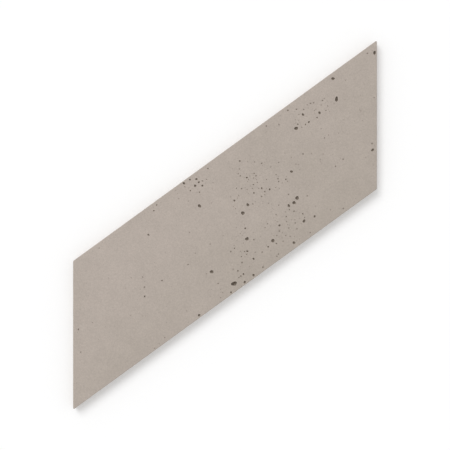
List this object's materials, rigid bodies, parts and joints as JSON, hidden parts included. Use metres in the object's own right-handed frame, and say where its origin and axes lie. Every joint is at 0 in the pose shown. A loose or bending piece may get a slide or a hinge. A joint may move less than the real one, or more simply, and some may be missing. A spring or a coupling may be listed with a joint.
{
  "type": "concrete wall panel",
  "caption": "Flat parallelogram slab of cast concrete with a smooth pored face, glued to a wall edge to edge in a chevron.",
  "frame": {"origin": "middle of the back, with the slab lying on its back", "axes": "+X from the lower end to the higher end, +Y up the wall, +Z out of the wall from the back to the cast face"},
  "size_m": [0.5, 0.6054, 0.02],
  "materials": {
    "concrete": "matte"
  },
  "bodies": {
    "root": {"wall_panel": "concrete"}
  },
  "joints": []
}
